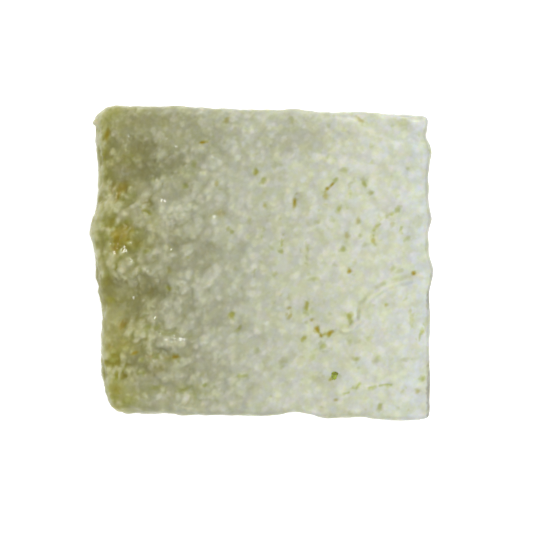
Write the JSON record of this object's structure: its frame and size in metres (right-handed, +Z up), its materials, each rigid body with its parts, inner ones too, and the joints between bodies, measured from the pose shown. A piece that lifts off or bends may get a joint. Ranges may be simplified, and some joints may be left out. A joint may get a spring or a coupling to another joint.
{
  "type": "block of fresh white cheese",
  "caption": "Cut block of fresh white curd cheese lying flat, with a rolled moulded left side, straight cut other sides and an uneven curdy top.",
  "frame": {"origin": "the middle of the block's foot, on the surface it rests on", "axes": "+Z up through the block, +X towards the cut side across from the rolled moulded side, +Y towards the back cut side"},
  "size_m": [0.1124, 0.1018, 0.0401],
  "materials": {
    "curd": "moist pressed curd, ivory white, more yellow towards the rolled side, with small whey-coloured pits"
  },
  "bodies": {
    "root": {"cheese": "curd"}
  },
  "joints": []
}
